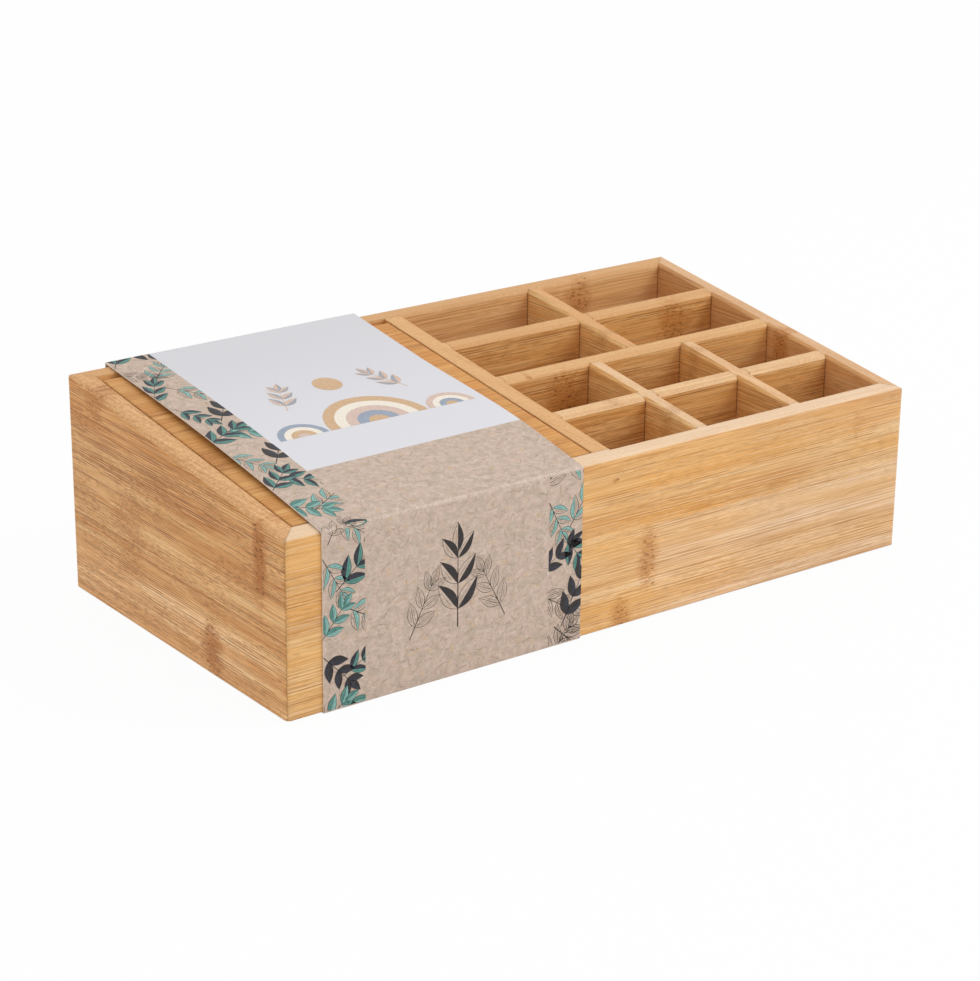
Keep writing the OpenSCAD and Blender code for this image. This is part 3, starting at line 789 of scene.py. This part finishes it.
# A leaf along +X with halves in two inks inside a thin line; without an ink that half stays bare paper
def addLeaf(build, place, length, width, left, right, line):
    n, b = sprig["segments"], sprig["border"]
    for side, ink in ((1, left), (-1, right)):
        rim = [(length * i / n, side * leafHalf(width, i / n)) for i in range(n + 1)]
        inside = [(b + x * (length - 2 * b) / length, y * (1 - 2 * b / width)) for x, y in rim]
        for i in range(n):
            addShape(build, line, [rim[i], rim[i + 1], inside[i + 1], inside[i]][::-side], place)
        if ink:
            addShape(build, ink, inside[::-side], place, sprig["inkLift"])
    for beside, start, end, thick in sprig["ribs"]:
        (x, y), (tipX, tipY) = ((length * e, beside * leafHalf(width, e)) for e in (start, end))
        rib = [(x, y - thick), (tipX, tipY - thick / 2), (tipX, tipY + thick / 2), (x, y + thick)]
        addShape(build, line, rib, place, sprig["ribLift"])


# A sprig lying along +X about the origin, its leaves in pairs
def makeSprig(name, left, right, line, scale=1.0):
    build = startPrint()
    end, thick = sprig["stem"] * scale / 2, sprig["stemWidth"] * scale / 2
    addShape(build, line, [(-end, -thick), (end, -thick / 2), (end, thick / 2), (-end, thick)])
    lean = math.radians(sprig["lean"])
    leaves = []
    for i in range(sprig["pairs"]):
        x = -end + 2 * end * (i + 0.7) / sprig["pairs"]
        leaves += [((x, 0, side * lean), scale * (1 - 0.1 * i)) for side in (1, -1)]
    for place, size in leaves + [((end - 0.5, 0, 0), scale * 0.8)]:
        addLeaf(build, place, sprig["leaf"] * size, sprig["leafWidth"] * size, left, right, line)
    return toMesh(name, build)


# Grid of sprigs: its share of a strip's width, its length past the strip, its columns and layers, and how
# far sprigs lean, stray and turn, and their sizes (mm, radians)
scatter = dict(
    fill=0.62, past=4, columns=2, layers=5, layerStep=0.012, lean=0.75, astray=(2.2, 1.8), turn=0.4,
    sizes=(0.8, 1.2))


# Geometry nodes: sprigs on a loose grid that fills a strip of the flat net
def makeScatterTree():
    inputs = {"Width": "Float", "Length": "Float", "Rows": "Int", "Columns": "Int", "Lean": "Float",
              "Seed": "Int", "Sprigs": "Collection"}
    tree, w, given = newGroup("sprig_scatter", "GeometryNodeTree", inputs, {"Geometry": "Geometry"})
    grid = w.add("GeometryNodeMeshGrid", {"Size X": w.times(given["Width"], scatter["fill"]),
                                          "Size Y": given["Length"], "Vertices X": given["Columns"],
                                          "Vertices Y": given["Rows"]}).outputs["Mesh"]

    def chance(low, high, offset):
        limits = {0: low, 1: high, "Seed": w.calc("ADD", given["Seed"], offset)}
        return w.add("FunctionNodeRandomValue", limits, data_type="FLOAT_VECTOR").outputs[0]

    index = w.add("GeometryNodeInputIndex").outputs[0]
    layer = w.times(w.calc("MODULO", index, scatter["layers"]), scatter["layerStep"])
    x, y = scatter["astray"]
    shift = w.shifted(chance((-x, -y, 0), (x, y, 0), 1.0), w.join(0.0, 0.0, layer))
    points = w.add("GeometryNodeSetPosition", {"Geometry": grid, "Offset": shift}).outputs[0]
    flip = w.scaled(w.calc("MODULO", index, 2.0), 2.0, -1.0)
    stray = w.split(chance((0, 0, -scatter["turn"]), (0, 0, scatter["turn"]), 2.0))[2]
    angle = w.calc("ADD", w.times(flip, given["Lean"]), stray)
    shapes = w.add("GeometryNodeCollectionInfo", {"Collection": given["Sprigs"], "Separate Children": True})
    picked = {4: 0, 5: 4, "Seed": w.calc("ADD", given["Seed"], 3.0)}
    small, large = scatter["sizes"]
    placed = w.add("GeometryNodeInstanceOnPoints", {
        "Points": points, "Instance": shapes.outputs[0], "Pick Instance": True,
        "Instance Index": w.add("FunctionNodeRandomValue", picked, data_type="INT").outputs[2],
        "Rotation": w.add("FunctionNodeEulerToRotation", {0: w.join(0.0, 0.0, angle)}).outputs[0],
        "Scale": chance((small, small, 1), (large, large, 1), 4.0)})
    shown = w.add("GeometryNodeRealizeInstances", {0: placed.outputs[0]}).outputs[0]
    for k, material in enumerate(inkMaterials[:4]):
        ink = w.add("GeometryNodeInputNamedAttribute", {"Name": "ink"}, data_type="INT").outputs["Attribute"]
        same = w.add("FunctionNodeCompare", {2: ink, 3: k}, data_type="INT", operation="EQUAL").outputs[0]
        dye = {"Geometry": shown, "Selection": same, "Material": material}
        shown = w.add("GeometryNodeSetMaterial", dye).outputs[0]
    w.add("NodeGroupOutput", {0: shown})
    return tree


sprigShapes = bpy.data.collections.new("sprig_shapes")
for name, left, right in (("a_sprig_teal", "mint", "teal"), ("b_sprig_slate", "slate", "line"),
                          ("c_sprig_bare", None, None), ("d_sprig_mint", None, "mint"),
                          ("e_sprig_dusk", "teal", "slate")):
    sprigShapes.objects.link(bpy.data.objects.new(name, makeSprig(name, left, right, "line")))
scene.collection.children.link(sprigShapes)
scatterTree = makeScatterTree()


# Puts a flat mesh on the folded net: its corner at across, along, and nothing outside width by length
def pressOn(build, flat, across, along, width=None, length=None):
    part = bmesh.new()
    part.from_mesh(flat)
    if width:
        for point, normal in (((0, 0, 0), (-1, 0, 0)), ((width, 0, 0), (1, 0, 0)),
                              ((0, 0, 0), (0, -1, 0)), ((0, length, 0), (0, 1, 0))):
            bmesh.ops.bisect_plane(part, geom=part.verts[:] + part.edges[:] + part.faces[:], plane_co=point,
                                   plane_no=normal, clear_outer=True, dist=1e-5)
    ink = part.faces.layers.int["ink"]
    target = build.faces.layers.int["ink"]
    lift = band["half"] + band["printLift"]
    fresh = {}
    for face in part.faces:
        for vert in face.verts:
            if vert not in fresh:
                x, y, z = vert.co
                fresh[vert] = build.verts.new(netPoint(across + x, along + y, lift + z))
        made = build.faces.new([fresh[vert] for vert in reversed(face.verts)])
        made[target] = face[ink]
        made.material_index = face[ink]
    part.free()


def scatterOn(build, across, along, width, length, rows, seed):
    holder = addToScene("scatter", bpy.data.meshes.new("scatter"))
    modifier = holder.modifiers.new("scatter", "NODES")
    modifier.node_group = scatterTree
    values = {"Width": width, "Length": length + scatter["past"], "Rows": rows, "Columns": scatter["columns"],
              "Lean": scatter["lean"], "Seed": seed, "Sprigs": sprigShapes}
    for item in scatterTree.interface.items_tree:
        if item.in_out == "INPUT":
            modifier[item.identifier] = values[item.name]
    graph = bpy.context.evaluated_depsgraph_get()
    flat = bpy.data.meshes.new_from_object(holder.evaluated_get(graph), depsgraph=graph)
    flat.transform(Matrix.Translation((width / 2, length / 2, 0)))
    holder.modifiers.remove(modifier)
    bpy.data.objects.remove(holder)
    pressOn(build, flat, across, along, width, length)


# A sprig turned about its middle and pressed on the net
def sprigOn(build, across, along, scale, turn, left, right, line):
    flat = makeSprig("sprig", left, right, line, scale)
    flat.transform(Matrix.Rotation(turn, 4, "Z"))
    pressOn(build, flat, across, along)


# Half rings one inside the other, each in its ink; the innermost is a half disc
def makeArches(radii, colours, steps=28):
    build = startPrint()
    for outer, inner, colour in zip(radii, radii[1:] + [0], colours):
        for i in range(steps):
            a, b = (math.pi * k / steps for k in (i, i + 1))
            rim = [(outer * math.cos(t), -outer * math.sin(t)) for t in (a, b)]
            rim += [(inner * math.cos(t), -inner * math.sin(t)) for t in (b, a)] if inner else [(0, 0)]
            addShape(build, colour, rim[::-1])
    return toMesh("arches", build)


def makeDisc(radius, ink, steps=40):
    build = startPrint()
    turns = [math.tau * i / steps for i in range(steps)]
    addShape(build, ink, [(radius * math.cos(t), radius * math.sin(t)) for t in turns])
    return toMesh("disc", build)


def finishPrint(name, build, node):
    piece = addToScene(name, toMesh(name, build, inkMaterials))
    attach(piece, node)


# Places in mm across and along the net, or down the front; strips have a width, rows of sprigs and seeds
art = dict(
    topStrip=17.4, leftStrip=16.2, rightStrip=14.2, margin=0.2, topRows=9, topSeed=5, frontRows=5,
    frontSeeds=(11, 26), backRows=6, backSeeds=(31, 47),
    arches=[(61, 84, [20, 16, 12, 8, 4], ["sand", "cream", "blush", "dusk", "sand"]),
            (30.5, 84, [9.6, 7.2, 4.8, 2.4], ["dusk", "cream", "sand", "blush"]),
            (91.5, 84, [9.6, 7.2, 4.8, 2.4], ["blush", "cream", "dusk", "sand"])],
    disc=(61, 50, 5.5, "sand"),
    twigs=[(39, 56, 1, -1.2, "dusk", "blush"), (83, 56, 1, -1.94, "blush", "dusk")],
    frontSprigs=[(38, 36, 1.15, -1.1, None), (53, 31, 1.6, -1.571, "line"), (68, 36, 1.15, -2.04, None)])
topPrint = startPrint()
scatterOn(topPrint, 0.0, 0.0, art["topStrip"], topLength, art["topRows"], art["topSeed"])
for across, along, radii, colours in art["arches"]:
    pressOn(topPrint, makeArches(radii, colours), across, along)
across, along, radius, ink = art["disc"]
pressOn(topPrint, makeDisc(radius, ink), across, along)
for *place, left, right in art["twigs"]:
    sprigOn(topPrint, *place, left, right, "sand")
finishPrint("sleeve_top_print", topPrint, "sleeve_top")

bodyPrint = startPrint()
margin, rightEdge = art["margin"], band["wide"] - art["rightStrip"]
for along, run, rows, (leftSeed, rightSeed) in (
        (bodyStart, frontLength - margin, art["frontRows"], art["frontSeeds"]),
        (backStart + margin, backLength - 2 * margin, art["backRows"], art["backSeeds"])):
    scatterOn(bodyPrint, 0.0, along, art["leftStrip"], run, rows, leftSeed)
    scatterOn(bodyPrint, rightEdge, along, art["rightStrip"], run, rows, rightSeed)
for across, down, scale, turn, left in art["frontSprigs"]:
    sprigOn(bodyPrint, across, bodyStart + down, scale, turn, left, None, "line")
finishPrint("sleeve_print", bodyPrint, "sleeve")
for shape in list(sprigShapes.objects):
    bpy.data.objects.remove(shape)
bpy.data.collections.remove(sprigShapes)
print("print on the card done")

# Mirror, tape and pins: two colours each, mixed by a noise of the given scale
silver = dict(dull=(232, 238, 240), clear=(240, 243, 244), haze=26)
foam = dict(shade=(214, 214, 210), white=(240, 240, 236), cells=2600)
steel = dict(dark=(176, 176, 180), light=(206, 206, 208), alongPin=60, acrossPin=5200)


def makeMirror():
    material, w, shader = newMaterial("mirror_silvered")
    haze = w.noise(w.coordinates("Object"), silver["haze"], 3.0)
    w.fill(shader, {"Base Color": w.mix(haze, tint(*silver["dull"]), tint(*silver["clear"])),
                    "Metallic": 1.0, "Roughness": w.scaled(haze, 0.02, 0.015)})
    wear("mirror", material)


def makeTape():
    material, w, shader = newMaterial("tape_foam")
    cells = w.noise(w.coordinates("Object"), foam["cells"], 2.0, 0.7)
    w.fill(shader, {"Base Color": w.mix(cells, tint(*foam["shade"]), tint(*foam["white"])),
                    "Roughness": 0.85, "Normal": w.bump(cells, 0.4, 0.00004)})
    wear("mirror_tape", material)


def makePinSteel():
    material, w, shader = newMaterial("pin_drawn_steel")
    x, y, z = w.split(w.coordinates("Object"))
    x = w.times(x, steel["alongPin"])
    y, z = (w.times(axis, steel["acrossPin"]) for axis in (y, z))
    lines = w.noise(w.join(x, y, z))
    w.fill(shader, {"Base Color": w.mix(lines, tint(*steel["dark"]), tint(*steel["light"])),
                    "Metallic": 1.0, "Roughness": w.scaled(lines, 0.2, 0.25)})
    for pin in ("hinge_pin_left", "hinge_pin_right"):
        wear(pin, material)


makeMirror()
makeTape()
makePinSteel()
print("mirror, tape and pins done")
